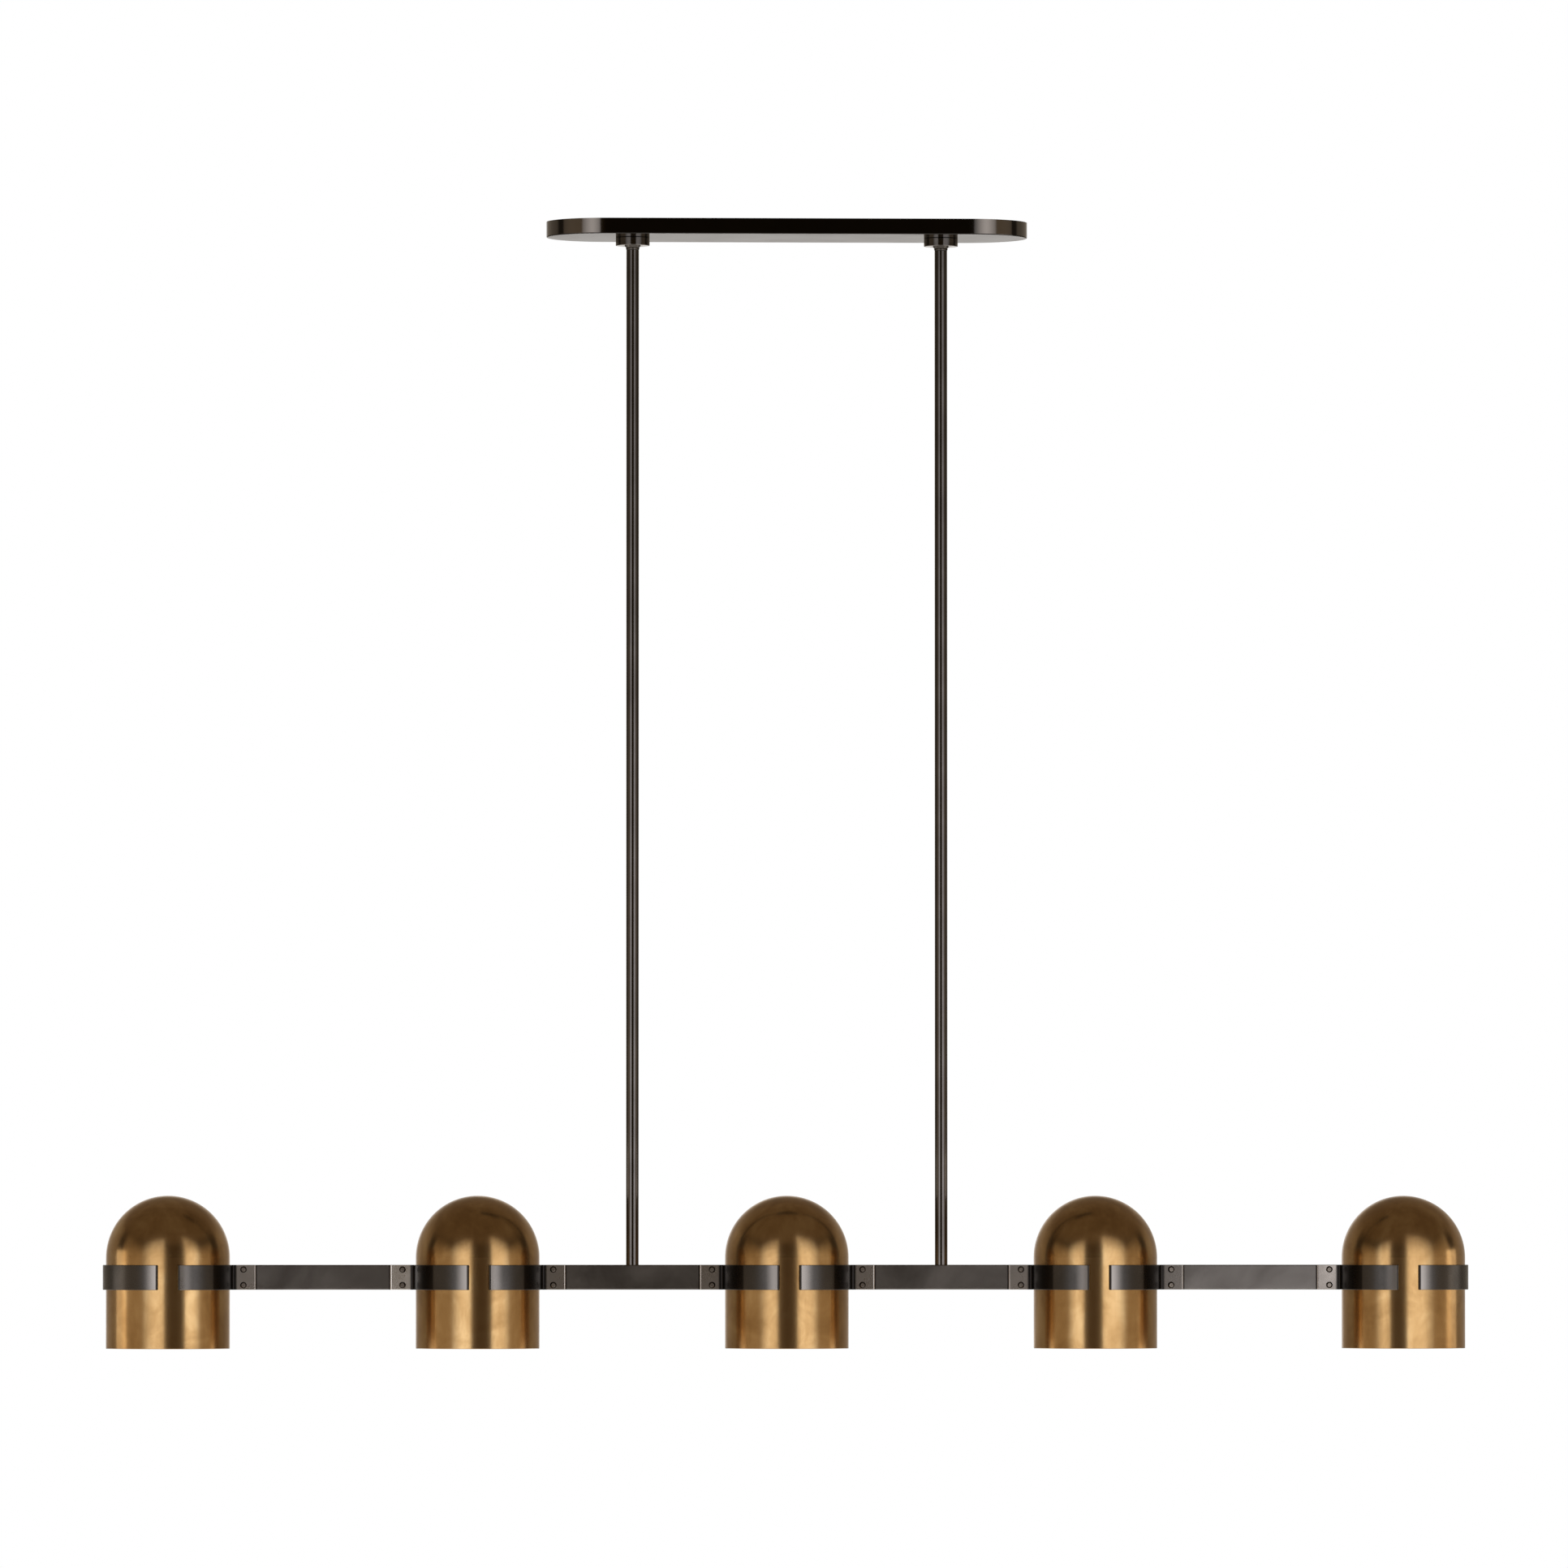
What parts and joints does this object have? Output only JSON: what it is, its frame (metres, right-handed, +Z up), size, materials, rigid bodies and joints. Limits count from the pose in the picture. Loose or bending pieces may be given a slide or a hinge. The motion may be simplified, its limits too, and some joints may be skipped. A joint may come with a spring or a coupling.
{
  "type": "linear island pendant",
  "caption": "Linear island pendant: a dark bronze bar on two rigid rods from a long canopy, with open domed shades in antique brass held by bent straps.",
  "frame": {"origin": "centre of the ceiling plane, midway between the two ceiling-box slots", "axes": "+X along the fixture, +Y away from its front, +Z up, into the ceiling"},
  "size_m": [1.4034, 0.1312, 1.158],
  "materials": {
    "zinc_steel": "zinc-plated steel",
    "ground_green": "green earth screw",
    "canopy_bronze": "dark bronze, polished",
    "cup_bronze": "dark bronze, polished",
    "swivel_bronze": "dark bronze, satin",
    "rod_bronze": "dark bronze, satin",
    "bar_bronze": "dark bronze, satin",
    "strap_bronze": "dark bronze, satin",
    "screw_black": "black oxide steel",
    "antique_brass": "hand-rubbed antique brass",
    "lampholder_ceramic": "white porcelain",
    "shell_nickel": "nickel-plated screw shell",
    "bushing_black": "black nylon",
    "lead_sleeve": "black sleeved lead",
    "lamp_opal": "opal lamp with a metal cap"
  },
  "bodies": {
    "canopy": {"canopy_pan": "canopy_bronze", "ground_screw": "ground_green", "housing_locknuts": "zinc_steel", "mounting_plate": "zinc_steel", "supply_leads": "lead_sleeve", "swivel_cup_left": "cup_bronze", "swivel_cup_right": "cup_bronze", "swivel_housing_left": "zinc_steel", "swivel_housing_right": "zinc_steel"},
    "hanging_frame": {"bar_1": "bar_bronze", "bar_2": "bar_bronze", "bar_3": "bar_bronze", "bar_4": "bar_bronze", "bar_end_blocks": "zinc_steel", "fixture_leads": "lead_sleeve", "lampholder_1": "lampholder_ceramic", "lampholder_2": "lampholder_ceramic", "lampholder_3": "lampholder_ceramic", "lampholder_4": "lampholder_ceramic", "lampholder_5": "lampholder_ceramic", "lampholder_shells": "shell_nickel", "rod_anchor_blocks": "zinc_steel", "rod_left": "rod_bronze", "rod_right": "rod_bronze", "shade_1": "antique_brass", "shade_2": "antique_brass", "shade_3": "antique_brass", "shade_4": "antique_brass", "shade_5": "antique_brass", "shade_screws": "screw_black", "socket_bridges": "zinc_steel", "strap_1_left_wrap": "strap_bronze", "strap_1_right_back": "strap_bronze", "strap_1_right_front": "strap_bronze", "strap_2_left_back": "strap_bronze", "strap_2_left_front": "strap_bronze", "strap_2_right_back": "strap_bronze", "strap_2_right_front": "strap_bronze", "strap_3_left_back": "strap_bronze", "strap_3_left_front": "strap_bronze", "strap_3_right_back": "strap_bronze", "strap_3_right_front": "strap_bronze", "strap_4_left_back": "strap_bronze", "strap_4_left_front": "strap_bronze", "strap_4_right_back": "strap_bronze", "strap_4_right_front": "strap_bronze", "strap_5_left_back": "strap_bronze", "strap_5_left_front": "strap_bronze", "strap_5_right_wrap": "strap_bronze", "strap_screws": "screw_black", "swivel_ball_left": "swivel_bronze", "swivel_ball_right": "swivel_bronze", "threaded_nipples": "zinc_steel", "wire_bushings": "bushing_black"},
    "lamp_body_1": {"lamp_1": "lamp_opal"},
    "lamp_body_2": {"lamp_2": "lamp_opal"},
    "lamp_body_3": {"lamp_3": "lamp_opal"},
    "lamp_body_4": {"lamp_4": "lamp_opal"},
    "lamp_body_5": {"lamp_5": "lamp_opal"}
  },
  "joints": [
    {"name": "ceiling_swivel", "type": "hinge", "parent": "canopy", "child": "hanging_frame", "pos_m": [0, 0, -0.019], "axis": [1, 0, 0], "range_deg": [-12, 12]},
    {"name": "lamp_1_out", "type": "slide", "parent": "hanging_frame", "child": "lamp_body_1", "axis": [0, 0, -1], "range_m": [0, 0.034]},
    {"name": "lamp_2_out", "type": "slide", "parent": "hanging_frame", "child": "lamp_body_2", "axis": [0, 0, -1], "range_m": [0, 0.034]},
    {"name": "lamp_3_out", "type": "slide", "parent": "hanging_frame", "child": "lamp_body_3", "axis": [0, 0, -1], "range_m": [0, 0.034]},
    {"name": "lamp_4_out", "type": "slide", "parent": "hanging_frame", "child": "lamp_body_4", "axis": [0, 0, -1], "range_m": [0, 0.034]},
    {"name": "lamp_5_out", "type": "slide", "parent": "hanging_frame", "child": "lamp_body_5", "axis": [0, 0, -1], "range_m": [0, 0.034]}
  ]
}
